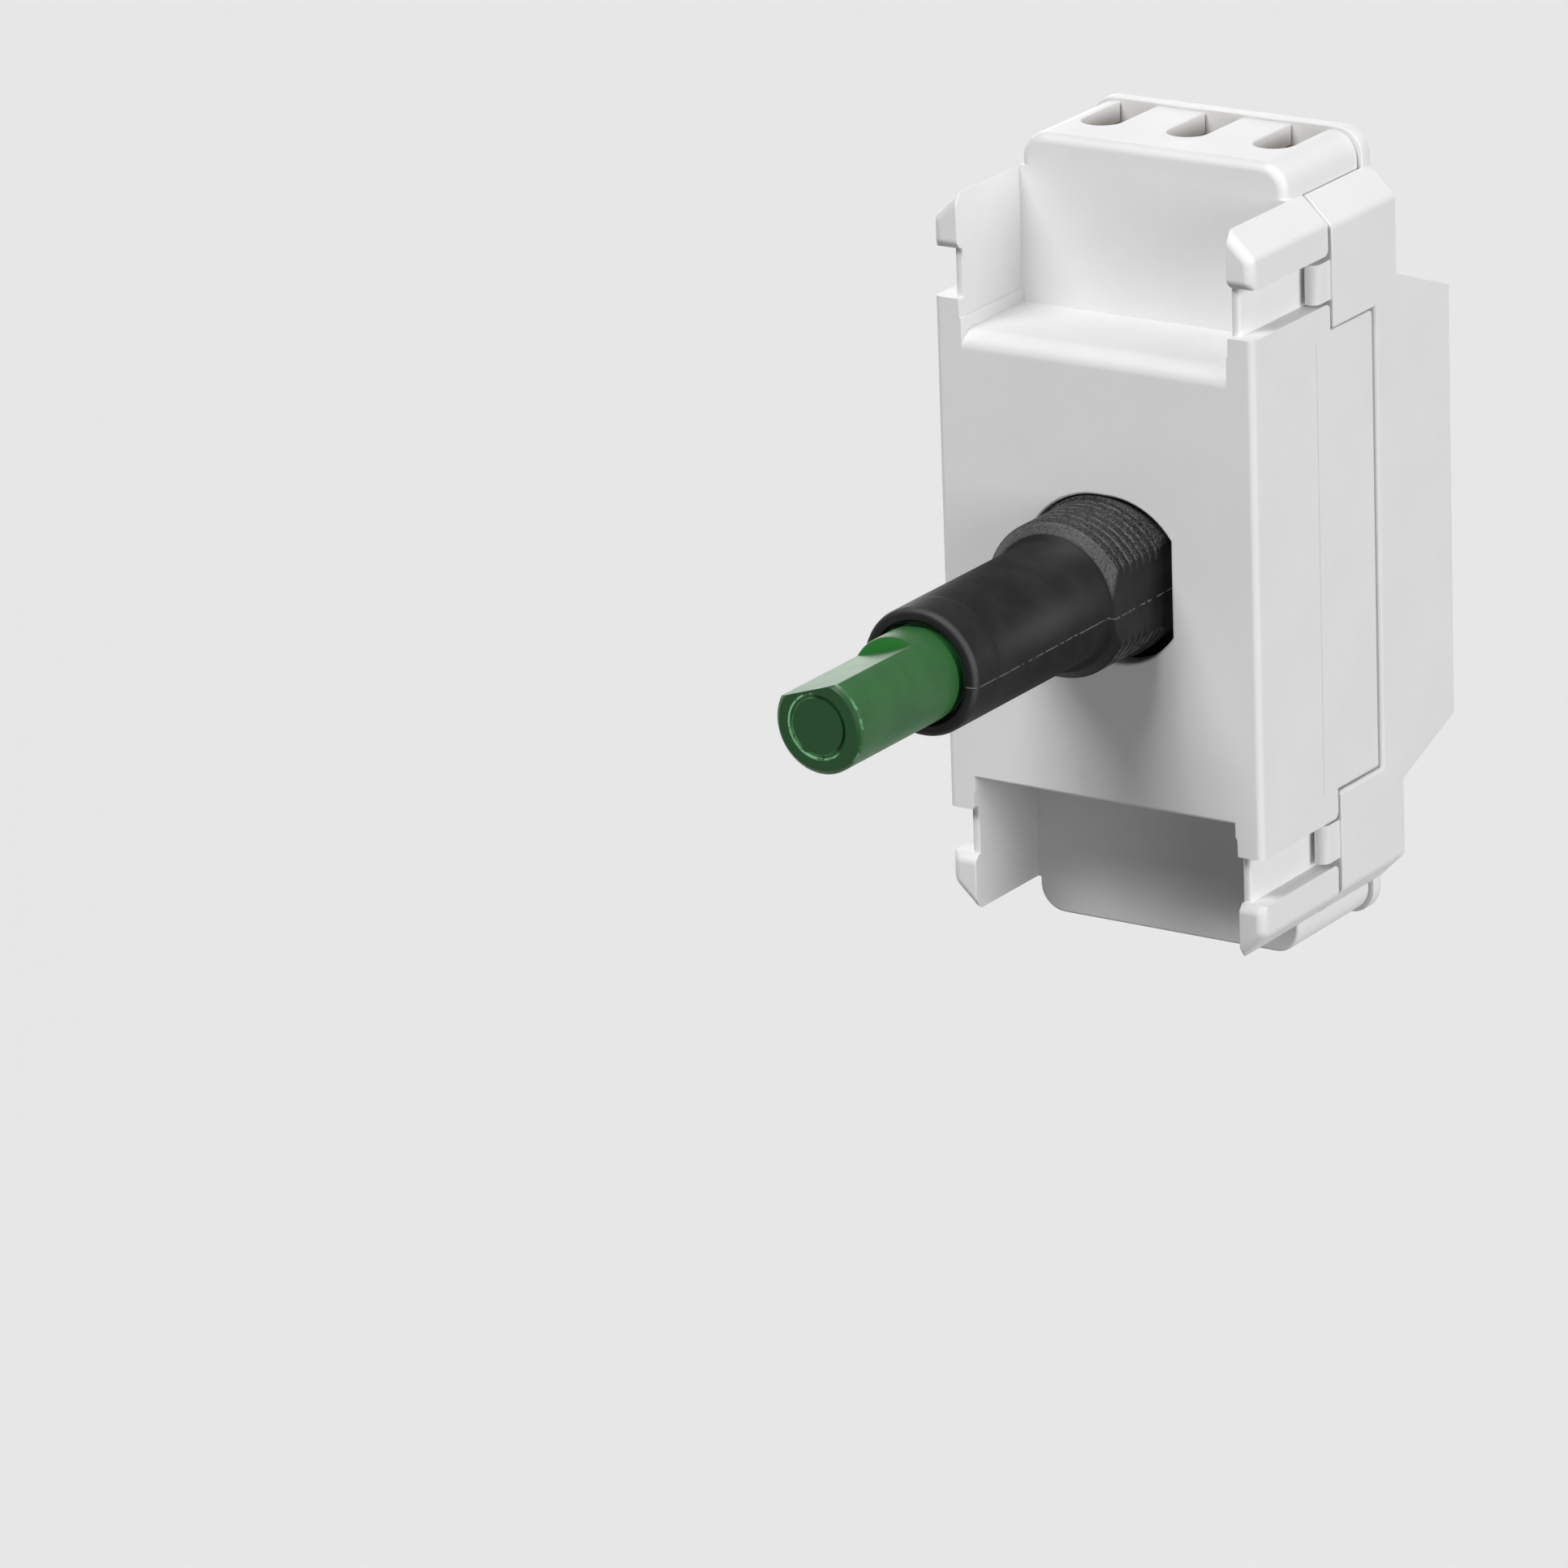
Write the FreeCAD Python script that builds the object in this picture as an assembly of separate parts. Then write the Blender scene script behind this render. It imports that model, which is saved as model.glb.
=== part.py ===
import FreeCAD, Part
import math
import os

# Rotary push dimmer module for a grid plate, in millimetres.
# X is to the right, Y runs into the wall, Z is up.
# The origin is on the bush axis, in the plane of the front face.

V = FreeCAD.Vector

# Front casing: overall
front_half_width = 11.25
side_panel_depth = 1.9
ledge_height = 14.4
post_rise = 2.05
body_setback = 1.6
side_step_rise = 0.3
side_step_gap = 0.1
front_wall = 1.6
side_wall = 1.45
ledge_wall = 1.4
ledge_edge_radius = 2.0
skirt_rise = 0.87
skirt_depth = 0.12
corner_radius = 0.45

# Front casing: clip ears and the notches under them
notch_height = 3.05
ear_height = 3.6
ear_chamfer = 1.65
ear_depth = 9.1
ear_edge_chamfer = 0.4
notch_wall = 0.7
notch_wall_setback = 0.6

# Front casing: end blocks
block_front = 7.3
block_depth = 8.7
block_rise = 2.15
block_wall = 1.9
block_roof = 1.35
block_top_radius = 1.3
block_side_radius = 1.7

# Hole for the bush
bush_hole_radius = 5.3
bush_hole_shift = 0.85
bush_hole_flat = 5.17

# Rear casing
rear_overhang = 0.15
seam_gap = 0.12
end_plate_thickness = 0.94
end_plate_lip = 0.15
deep_box_depth = 6.74
deep_box_rise = 1.6
deep_box_taper = 2.5
rear_wall = 1.35
wing_gap = 0.1
wing_chamfer = 1.75
wing_drop = 0.1
tab_reach = 1.68
tab_inset = 0.18
tab_low_gap = 0.2
tab_high_gap = 0.35
tab_thickness = 0.85
tab_edge_radius = 0.6
rear_edge_radius = 0.5

# Threaded bush
thread_radius = 5.0
thread_flat = 4.4
thread_length = 5.3
thread_chamfer = 0.6
nose_radius = 4.0
nose_end = 20.4
nose_lip = 0.45
bush_bore = 3.06
collar_radius = 5.2
flange_inset = 0.3
flange_thickness = 1.5
seat_gap = 0.05

# Control shaft
shaft_radius = 3.0
shaft_end = 31.4
shaft_flat = 2.2
shaft_flat_angle = 108.0
shaft_flat_end = 23.0
shaft_tip_chamfer = 0.3
shaft_groove_front = 20.6
shaft_groove_width = 0.8
shaft_groove_depth = 0.25
shaft_shoulder = 1.5
shaft_mark_radius = 1.75
shaft_mark_width = 0.22
shaft_mark_depth = 0.18
tail_radius = 2.0
tail_flat = 1.4
push_travel = 1.8
running = 0.06

# Potentiometer
pot_half = 6.8
pot_corner = 1.4
pot_wall = 1.1
pot_depth = 4.6
pot_rear_wall = 0.8
rotor_gap = 0.3
rotor_disc = 1.4
hub_radius = 2.9
hub_overrun = 0.8
track_thickness = 0.5
track_inner = 3.4
track_mouth_angle = 50.0
wiper_sheet = 0.2
wiper_width = 0.9
wiper_radius = 4.4
wiper_corner = 2.8
leg_width = 0.7
leg_thickness = 0.4
leg_pitch = 4.0

# Push switch
clip_radius = 3.0
clip_thickness = 0.5
clip_gap = 0.1
clip_mouth = 2.4
switch_wall = 1.1
switch_rear_wall = 1.2
plunger_half = 3.9
plunger_depth = 3.2
plunger_block_half = 2.55
plunger_block_margin = 1.0
spring_outer = 2.4
spring_wire = 0.45
spring_turns = 4
spring_pocket = 1.4
spring_seat_wall = 0.5
spring_seat_depth = 0.7
spring_sides = 6
spring_steps = 9
contact_sheet = 0.4
contact_width = 1.6
contact_low = 0.3
contact_high = 0.9
contact_offset = 3.6
contact_reach = 2.45
rail_overlap = 0.1

# Circuit board and what it carries
board_setback = 1.0
board_thickness = 1.0
board_side_gap = 0.45
board_end_gap = 1.0
board_corner = 0.8
pillar_half = 0.9
pillar_inset = 1.9
part_gap = 0.35
capacitor_gap = 1.4
film_capacitor_depth = 8.0
film_capacitor_corner = 0.4
capacitor_radius = 2.55
capacitor_length = 9.0
choke_outer = 6.8
choke_inner = 3.6
choke_wire = 0.6
choke_lead_gap = 0.1
chip_size = 5.0
chip_height = 1.5
chip_stand = 0.15
chip_ratio = 0.8
chip_leg_pitch = 1.27
chip_leg_width = 0.4
chip_leg_height = 0.5
chip_leg_reach = 1.0
fuse_radius = 1.2
fuse_length = 7.0
fuse_lead = 0.5
fuse_lead_reach = 1.4
fuse_stand = 1.9
fuse_inset = 4.5

# Power transistors and their heat sink
device_width = 6.6
device_height = 6.1
device_depth = 2.3
device_gap = 0.9
device_drop = 2.4
device_chamfer = 0.3
sink_thickness = 1.5
pad_thickness = 0.2
pad_margin = 0.5
sink_drop = 1.6
lead_size = 0.5
lead_pitch = 2.0

# Terminals
terminal_pitch = 6.1
slot_width = 2.7
slot_front = 10.4
chamber_half = 2.45
cage_gap = 0.2
cage_height = 4.8
cage_top_gap = 1.7
cage_wall = 0.7
plate_width = 2.6
plate_thickness = 0.6
plate_top_gap = 0.5
wire_space = 2.8
screw_radius = 1.45
screw_head = 1.95
screw_head_height = 0.9
screw_head_gap = 0.3
screw_slot = 0.5
cage_travel = 1.1

# Small lengths for the making of the solids
near = 0.01
overlap = 0.5
past = 1.0

# Places that follow from the sizes above
inner_half_width = front_half_width - side_panel_depth
rear_half_width = front_half_width + rear_overhang
post_height = ledge_height + post_rise
ear_low = post_height + notch_height
ear_high = ear_low + ear_height
block_height = ear_high + block_rise
block_rear = block_front + block_depth
body_depth = block_rear - body_setback
side_step_height = ledge_height + side_step_rise
side_step_depth = ear_depth + side_step_gap
end_plane = block_rear + seam_gap + end_plate_thickness
deep_plane = end_plane + deep_box_depth
deep_height_front = side_step_height + deep_box_rise
deep_height_rear = deep_height_front - deep_box_taper
wing_high = ear_high - wing_drop
tab_low = post_height + tab_low_gap
tab_high = ear_low - tab_high_gap
board_plane = block_rear + board_setback
board_half_width = rear_half_width - rear_wall - board_side_gap
board_half_height = side_step_height - board_end_gap
flange_half = pot_half - flange_inset
flange_front = front_wall + seat_gap
flange_rear = flange_front + flange_thickness
pot_front = flange_rear
pot_rear = pot_front + pot_depth
rotor_front = pot_front + rotor_gap
rotor_rear = rotor_front + rotor_disc
hub_rear = pot_rear + hub_overrun
track_rear = pot_rear - pot_rear_wall
track_front = track_rear - track_thickness
clip_front = hub_rear + clip_gap
clip_rear = clip_front + clip_thickness
tail_end = clip_rear + clip_thickness
plunger_front = tail_end
plunger_rear = plunger_front + plunger_depth
switch_inside_rear = board_plane - switch_rear_wall
cavity_half_width = front_half_width - side_wall
cavity_half_height = ledge_height - ledge_wall
film_capacitor_width = 2 * (cavity_half_width - part_gap - capacitor_radius) - capacitor_gap
choke_room = cavity_half_height - pot_half - 2 * leg_thickness - 2 * part_gap
choke_height = choke_room - 2 * choke_wire
chamber_front = block_front + block_wall
chamber_top = block_height - block_roof
rear_plate = block_rear + seam_gap
screw_head_front = end_plane - screw_head_height
cage_front = chamber_front + cage_gap
cage_rear = screw_head_front - cage_travel - part_gap
cage_high = chamber_top - cage_top_gap
cage_low = cage_high - cage_height
plate_foot = cavity_half_height
plate_front = cage_front + cage_wall + wire_space
plate_rear = plate_front + plate_thickness
screw_z = (cage_low + cage_high) / 2
screw_hole = screw_head + screw_head_gap


def box(x0, x1, y0, y1, z0, z1):
    return Part.makeBox(x1 - x0, y1 - y0, z1 - z0, V(x0, y0, z0))


def rod(radius, y0, y1, x=0.0, z=0.0):
    return Part.makeCylinder(radius, y1 - y0, V(x, y0, z), V(0, 1, 0))


def tube(outer, inner, y0, y1, x=0.0, z=0.0):
    return rod(outer, y0, y1, x, z).cut(rod(inner, y0, y1, x, z))


def cone(r0, r1, y0, y1, x=0.0, z=0.0):
    return Part.makeCone(r0, r1, y1 - y0, V(x, y0, z), V(0, 1, 0))


def prism(points, direction):
    wire = Part.makePolygon(points + [points[0]])
    return Part.Face(wire).extrude(direction)


def prism_x(outline, x0, x1):
    """Outline of (y, z) points, extruded from x0 to x1."""
    return prism([V(x0, y, z) for y, z in outline], V(x1 - x0, 0, 0))


def prism_y(outline, y0, y1):
    """Outline of (x, z) points, extruded from y0 to y1."""
    return prism([V(x, y0, z) for x, z in outline], V(0, y1 - y0, 0))


def both_x(shape):
    return [shape, shape.mirror(V(0, 0, 0), V(1, 0, 0))]


def both_z(shape):
    return [shape, shape.mirror(V(0, 0, 0), V(0, 0, 1))]


def four(shape):
    return [copy for half in both_x(shape) for copy in both_z(half)]


def joined(shapes):
    return shapes[0].fuse(shapes[1:]).removeSplitter()


def edges_near(shape, test):
    return [edge for edge in shape.Edges if test(edge)]


def straight_along(edge, axis, limit=1e-6):
    start, end = edge.Vertexes[0].Point, edge.Vertexes[-1].Point
    span = [abs(end.x - start.x), abs(end.y - start.y), abs(end.z - start.z)]
    return all(span[i] < limit for i in range(3) if i != axis) and span[axis] > limit


def middle(edge):
    return edge.BoundBox.Center


def save(shape, name):
    if not shape.isValid():
        print("not valid:", name)
    shape.exportStep("parts/" + name + ".step")
    print(name, "solids", len(shape.Solids), "volume", round(shape.Volume, 2))


def body_centre():
    """Middle of the front casing, with the round upper and lower front edges."""
    w, h = inner_half_width, ledge_height
    shape = box(-w, w, 0, chamber_front, -h, h)
    edges = edges_near(shape, lambda e: straight_along(e, 0) and middle(e).y < near)
    return shape.makeFillet(ledge_edge_radius, edges)


def side_panel():
    """One side wall with its posts and the long step behind them."""
    h, s, p = side_step_height, side_step_depth, post_height
    outline = [(0, -p), (s, -p), (s, -h), (body_depth, -h), (body_depth, h), (s, h), (s, p), (0, p)]
    shape = prism_x(outline, inner_half_width, front_half_width)
    edges = edges_near(shape, lambda e: straight_along(e, 2) and middle(e).y < near
                       and middle(e).x > inner_half_width + near)
    edges += edges_near(shape, lambda e: straight_along(e, 0) and middle(e).y > s - near
                       and abs(middle(e).z) > p - near)
    return shape.makeFillet(corner_radius, edges)


def ear():
    """Upper right clip ear with the sloped outer corner."""
    low, high = ear_low, ear_high
    inside = inner_half_width + skirt_depth
    outline = [(inside, low), (front_half_width, low), (front_half_width, high - ear_chamfer), (inside, high)]
    shape = prism_y(outline, 0, ear_depth)
    edges = edges_near(shape, lambda e: middle(e).y < near and middle(e).x > inside + near)
    shape = shape.makeChamfer(ear_edge_chamfer, edges)
    corner = edges_near(shape, lambda e: straight_along(e, 0) and middle(e).y > ear_depth - near
                        and middle(e).z < low + near)
    shape = shape.makeFillet(corner_radius, corner)
    wall = box(inner_half_width, inner_half_width + notch_wall, notch_wall_setback, ear_depth,
               ledge_height, ear_low + overlap)
    root = box(inner_half_width - block_top_radius, inside, block_front, ear_depth, ledge_height, high)
    return shape.fuse([wall, root])


def end_block():
    """Upper end block that stands above the ears."""
    w = inner_half_width
    shape = box(-w, w, block_front, block_rear, cavity_half_height, block_height)
    sides = edges_near(shape, lambda e: straight_along(e, 1) and middle(e).z > block_height - near)
    shape = shape.makeFillet(block_side_radius, sides)
    front = edges_near(shape, lambda e: middle(e).y < block_front + near
                       and middle(e).z > block_height - block_side_radius)
    return shape.makeFillet(block_top_radius, front)


def slot_cut(x):
    """Cable slot through the roof, round at the front and open to the rear."""
    r = slot_width / 2
    low, top = chamber_top - past, block_height + past
    straight = box(x - r, x + r, slot_front + r, block_rear + past, low, top)
    nose = Part.makeCylinder(r, top - low, V(x, slot_front + r, low), V(0, 0, 1))
    return straight.fuse(nose)


def chamber(x):
    """Terminal chamber, open to the rear and down into the body."""
    return box(x - chamber_half, x + chamber_half, chamber_front, block_rear + past,
               cavity_half_height - past, chamber_top)


def terminal_places():
    return {"left": -terminal_pitch, "middle": 0.0, "right": terminal_pitch}


def d_prism(radius, flat, y0, y1):
    """Round bar along Y with a flat on its right side."""
    shape = rod(radius, y0, y1)
    side = box(flat, radius + past, y0 - past, y1 + past, -radius - past, radius + past)
    return shape.cut(side)


def bush_hole():
    """Round hole drawn out to the right, with a flat there beside the flat of the bush."""
    r, s = bush_hole_radius, bush_hole_shift
    y0, y1 = -past, front_wall + past
    hole = joined([rod(r, y0, y1), rod(r, y0, y1, s), box(0, s, y0, y1, -r, r)])
    return hole.common(box(-r, bush_hole_flat, y0, y1, -r, r))


def front_casing():
    pieces = [body_centre()]
    pieces += both_x(side_panel())
    pieces += four(ear())
    pieces += both_z(end_block())
    shape = joined(pieces)
    cavity = box(-cavity_half_width, cavity_half_width, front_wall, block_rear + past,
                 -cavity_half_height, cavity_half_height)
    cuts = [cavity]
    for x in terminal_places().values():
        cuts += [chamber(x), slot_cut(x)]
    reach = terminal_pitch + chamber_half - part_gap
    cuts.append(box(-reach, reach, chamber_front, block_rear + past, -chamber_top,
                    -cavity_half_height + past))
    cuts += four(box(inner_half_width - overlap, inner_half_width + skirt_depth, -past, block_front,
                     ledge_height + skirt_rise, ear_high + past))
    cuts.append(bush_hole())
    return shape.cut(cuts).removeSplitter()


def wing_outline():
    """Front view of the end of the rear casing, sloped at its upper corner."""
    c = wing_chamfer
    w, h = rear_half_width, wing_high
    return [(inner_half_width + wing_gap, side_step_height + seam_gap), (w, side_step_height + seam_gap),
            (w, h - c), (w - c, h), (inner_half_width + wing_gap, h)]


def end_plate():
    """Rear plate behind the upper end block."""
    c, w, h = wing_chamfer, rear_half_width, wing_high
    low = ledge_height - past
    outline = [(-w, low), (w, low), (w, h - c), (w - c, h), (c - w, h), (-w, h - c)]
    shape = prism_y(outline, rear_plate, end_plane)
    side, crest_top = inner_half_width + 2 * end_plate_lip, block_height + end_plate_lip
    crest = box(-side, side, rear_plate, end_plane, ledge_height, crest_top)
    top = edges_near(crest, lambda e: straight_along(e, 1) and middle(e).z > crest_top - near)
    return shape.fuse(crest.makeFillet(block_side_radius, top))


def rear_casing():
    w, gap = rear_half_width, body_depth + seam_gap
    step = side_step_height + seam_gap
    outline = [(gap, -step), (gap, step), (end_plane, step), (end_plane, deep_height_front),
               (deep_plane, deep_height_rear), (deep_plane, -deep_height_rear),
               (end_plane, -deep_height_front), (end_plane, -step)]
    deep = prism_x(outline, -w, w)
    edges = edges_near(deep, lambda e: middle(e).y > deep_plane - near)
    deep = deep.makeFillet(rear_edge_radius, edges)
    wing = prism_y(wing_outline(), side_step_depth + seam_gap, end_plane)
    tab_front = side_step_depth + seam_gap - tab_reach
    tab_side = w - tab_inset
    tab = box(tab_side - tab_thickness, tab_side, tab_front, side_step_depth + past, tab_low, tab_high)
    front = edges_near(tab, lambda e: middle(e).y < tab_front + near and middle(e).x > tab_side - near)
    tab = tab.makeFillet(tab_edge_radius, front)
    shape = joined([deep] + both_z(end_plate()) + four(wing) + four(tab))
    t = rear_wall
    slope = (deep_height_front - deep_height_rear) / (deep_plane - end_plane)
    inside_rear = deep_plane - t
    inside_end = deep_height_front - t
    hollow = [(gap - past, -side_step_height + t / 3), (gap - past, side_step_height - t / 3),
              (end_plane, inside_end), (inside_rear, inside_end - slope * (inside_rear - end_plane)),
              (inside_rear, -inside_end + slope * (inside_rear - end_plane)), (end_plane, -inside_end)]
    shape = shape.cut(prism_x(hollow, t - w, w - t))
    reach = inner_half_width + wing_gap
    shape = shape.cut(box(-reach, reach, gap - past, rear_plate, -step - past, step + past))
    for x in terminal_places().values():
        shape = shape.cut(rod(screw_hole, rear_plate - past, end_plane + past, x, screw_z))
    px, pz = board_half_width - pillar_inset, board_half_height - pillar_inset
    h = pillar_half
    pillars = four(box(px - h, px + h, board_plane + board_thickness, inside_rear + t / 2, pz - h, pz + h))
    return joined([shape] + pillars)


def threaded_bush():
    nose = rod(nose_radius, -nose_end + nose_lip, -thread_length)
    lip = cone(nose_radius - nose_lip, nose_radius, -nose_end, -nose_end + nose_lip)
    thread_front = -thread_length + thread_chamfer
    tip = cone(thread_radius - thread_chamfer, thread_radius, -thread_length, thread_front)
    thread = rod(thread_radius, thread_front, seat_gap)
    shape = joined([nose, lip, tip, thread])
    collar = rod(collar_radius, seat_gap, flange_front)
    r = collar_radius
    flat = box(thread_flat, r + past, -thread_length, flange_front, -r, r)
    flange = box(-flange_half, flange_half, flange_front, flange_rear, -flange_half, flange_half)
    shape = joined([shape.cut(flat), collar.cut(flat), flange])
    return shape.cut(rod(bush_bore, -nose_end - past, flange_rear + past))


def control_shaft():
    c = shaft_tip_chamfer
    tip = cone(shaft_radius - c, shaft_radius, -shaft_end, -shaft_end + c)
    head = joined([tip, rod(shaft_radius, -shaft_end + c, -shaft_flat_end)])
    flat = box(-shaft_radius - past, shaft_radius + past, -shaft_end - past, past,
               shaft_flat, shaft_radius + past)
    flat.rotate(V(0, 0, 0), V(0, 1, 0), 90 - shaft_flat_angle)
    mark = tube(shaft_mark_radius + shaft_mark_width, shaft_mark_radius, -shaft_end - past,
                -shaft_end + shaft_mark_depth)
    bar = rod(shaft_radius, -shaft_flat_end, shaft_shoulder)
    tail = d_prism(tail_radius, tail_flat, shaft_shoulder, tail_end)
    groove_rear = -shaft_groove_front + shaft_groove_width
    floor_radius = shaft_radius - shaft_groove_depth
    dust_groove = tube(shaft_radius + past, floor_radius, -shaft_groove_front, groove_rear)
    clip_groove = tube(tail_radius + past, tail_radius - clip_thickness, clip_front, clip_rear)
    # fused without merging faces, so that the stretch with the flat keeps a round wall of its own
    return head.cut([flat, mark]).fuse(joined([bar, tail]).cut([dust_groove, clip_groove]))


def retaining_clip():
    """Open ring that sits in the groove of the shaft's tail."""
    ring = tube(clip_radius, tail_radius - clip_thickness, clip_front, clip_rear)
    mouth = box(-clip_mouth / 2, clip_mouth / 2, clip_front, clip_rear, -clip_radius - past, 0)
    return ring.cut(mouth)


def chamfered_square(half, corner, y0, y1):
    h, k = half, half - corner
    outline = [(-k, -h), (k, -h), (h, -k), (h, k), (k, h), (-k, h), (-h, k), (-h, -k)]
    return prism_y(outline, y0, y1)


def pot_housing():
    shape = chamfered_square(pot_half, pot_corner, pot_front, pot_rear)
    cavity = chamfered_square(pot_half - pot_wall, pot_corner, pot_front, track_rear)
    bearing = rod(hub_radius + running, pot_front, pot_rear + past)
    return shape.cut([cavity, bearing])


def wiper_rotor():
    """Disc and hub that the shaft turns and slides through."""
    disc = rod(pot_half - pot_wall - rotor_gap, rotor_front, rotor_rear)
    hub = rod(hub_radius, rotor_rear, hub_rear)
    bore = d_prism(tail_radius + running, tail_flat + running, rotor_front - past, hub_rear + past)
    return joined([disc, hub]).cut(bore)


def wiper_contact():
    """Sprung metal ring with two fingers that touch the track."""
    outer = wiper_radius + wiper_width / 2
    sheet = chamfered_square(outer, wiper_corner, rotor_rear, rotor_rear + wiper_sheet)
    ring = sheet.cut(rod(hub_radius + running, rotor_rear - past, rotor_rear + past))
    fingers = []
    half = wiper_width / 2
    for side in (-1, 1):
        z = side * wiper_radius
        outline = [(rotor_rear, -half), (rotor_rear + wiper_sheet, -half),
                   (track_front, half - wiper_sheet), (track_front, half), (rotor_rear, half)]
        finger = prism_x([(y, z + dz) for y, dz in outline], -half, half)
        fingers.append(finger)
    return joined([ring] + fingers)


def resistive_element():
    """Square wafer whose front is cut back between the two ends of its track."""
    wafer = chamfered_square(pot_half - pot_wall, pot_corner, track_front, track_rear)
    ring = wafer.cut(rod(track_inner, track_front - past, track_rear + past))
    half = math.radians(track_mouth_angle / 2)
    reach = pot_half
    mouth = prism_y([(0, 0), (reach * math.sin(half), -reach), (-reach * math.sin(half), -reach)],
                    track_front - past, track_front + track_thickness / 2)
    return ring.cut(mouth)


def pot_terminals():
    """Three legs from the potentiometer back to the board."""
    legs = []
    y = (track_front + track_rear) / 2
    for place in (-1, 0, 1):
        x = place * leg_pitch
        z = -pot_half
        down = box(x - leg_width / 2, x + leg_width / 2, y - leg_thickness / 2, y + leg_thickness / 2,
                   z - 2 * leg_thickness, z)
        back = box(x - leg_width / 2, x + leg_width / 2, y - leg_thickness / 2, board_plane,
                   z - 2 * leg_thickness, z - leg_thickness)
        legs.append(joined([down, back]))
    return Part.makeCompound(legs)


def switch_housing():
    """Cup behind the potentiometer that guides the plunger."""
    shape = chamfered_square(pot_half, pot_corner, pot_rear, board_plane)
    k = pot_half - switch_wall
    cavity = chamfered_square(k, pot_corner, pot_rear, switch_inside_rear)
    shape = shape.cut(cavity)
    rails = []
    for side in (-1, 1):
        x = side * (plunger_half + running)
        outer = side * (k + rail_overlap)
        rails.append(box(min(x, outer), max(x, outer), hub_rear, switch_inside_rear, -plunger_half / 2,
                         plunger_half / 2))
    seat = spring_outer + part_gap
    boss = tube(seat + spring_seat_wall, seat, switch_inside_rear - spring_seat_depth, switch_inside_rear)
    shape = joined([shape, boss] + rails)
    for side in (-1, 1):
        shape = shape.cut(contact_blade(side, running))
    return shape


def switch_plunger():
    p, w = plunger_half, plunger_block_half
    high = contact_offset + plunger_block_margin
    shape = box(-p, p, plunger_front, plunger_rear, -p / 2, p / 2)
    block = box(-w, w, plunger_front, plunger_rear, -high, high)
    pocket = rod(spring_outer + part_gap / 2, plunger_rear - spring_pocket, plunger_rear + past)
    return joined([shape, block]).cut(pocket)


def moving_contact():
    """Two bridge strips on the back of the plunger, above and below the spring."""
    strip = box(-contact_reach, contact_reach, plunger_rear, plunger_rear + contact_sheet,
                contact_offset - contact_low, contact_offset + contact_high)
    return Part.makeCompound(both_z(strip))


def contact_blade(side, grow=0.0):
    """Fixed contact, from its face behind the bridge back to the board."""
    x = side * (plunger_half / 2)
    y0 = plunger_rear + contact_sheet + push_travel + seat_gap
    w = contact_width / 2
    z0, z1 = contact_offset - contact_low, contact_offset + contact_high
    return box(x - w - grow, x + w + grow, y0 - grow, board_plane, z0 - grow, z1 + grow)


def fixed_contacts():
    return Part.makeCompound([contact_blade(-1), contact_blade(1)])


def spring_section(radius, pitch, y0, angle):
    """Cross-section of the wire where the coil has turned by the angle."""
    points = []
    y = y0 + pitch * angle / (2 * math.pi)
    for side in range(spring_sides):
        a = 2 * math.pi * side / spring_sides
        r = radius + spring_wire / 2 * math.cos(a)
        points.append(V(r * math.cos(angle), y + spring_wire / 2 * math.sin(a), r * math.sin(angle)))
    return Part.makePolygon(points + [points[0]])


def return_spring():
    """Compression spring between the plunger and the back of the switch."""
    radius = spring_outer - spring_wire / 2
    start = plunger_rear - spring_pocket + spring_wire / 2 + seat_gap
    end = switch_inside_rear - spring_wire / 2 - seat_gap
    pitch = (end - start) / spring_turns
    step = 2 * math.pi / spring_steps
    count = spring_turns * spring_steps + 1
    sections = [spring_section(radius, pitch, start, i * step) for i in range(count)]
    return Part.makeLoft(sections, True, True)


def circuit_board():
    w, h = board_half_width, board_half_height
    shape = box(-w, w, board_plane, board_plane + board_thickness, -h, h)
    edges = edges_near(shape, lambda e: straight_along(e, 1))
    return shape.makeChamfer(board_corner, edges)


def film_capacitor():
    x0 = -cavity_half_width + part_gap
    z0 = pot_half + part_gap
    z1 = cavity_half_height - part_gap
    shape = box(x0, x0 + film_capacitor_width, board_plane - film_capacitor_depth, board_plane, z0, z1)
    edges = edges_near(shape, lambda e: straight_along(e, 1))
    return shape.makeChamfer(film_capacitor_corner, edges)


def electrolytic_capacitor():
    x = cavity_half_width - part_gap - capacitor_radius
    z = cavity_half_height - part_gap - capacitor_radius
    return rod(capacitor_radius, board_plane - capacitor_length, board_plane, x, z)


def choke_centre():
    y = board_plane - part_gap - choke_outer - choke_wire
    z = -cavity_half_height + choke_wire + part_gap + choke_height / 2
    return y, z


def choke_core():
    y, z = choke_centre()
    base = V(0, y, z - choke_height / 2)
    outer = Part.makeCylinder(choke_outer, choke_height, base, V(0, 0, 1))
    return outer.cut(Part.makeCylinder(choke_inner, choke_height, base, V(0, 0, 1)))


def choke_winding():
    """Wound sleeve over the core, open over the stretch where the leads leave."""
    y, z = choke_centre()
    t = choke_wire
    low = V(0, y, z - choke_height / 2 - t)
    outer = Part.makeCylinder(choke_outer + t, choke_height + 2 * t, low, V(0, 0, 1))
    hole = Part.makeCylinder(choke_inner - t, choke_height + 2 * t, low, V(0, 0, 1))
    core = choke_core()
    gap = box(-choke_outer / 2, choke_outer / 2, y + choke_lead_gap, y + choke_outer + past,
              low.z - past, -low.z)
    shape = outer.cut([hole, core, gap])
    lead = box(-choke_outer / 2 - t, -choke_outer / 2, y + choke_inner + t, board_plane, low.z, low.z + t)
    return joined([shape] + both_x(lead))


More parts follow.
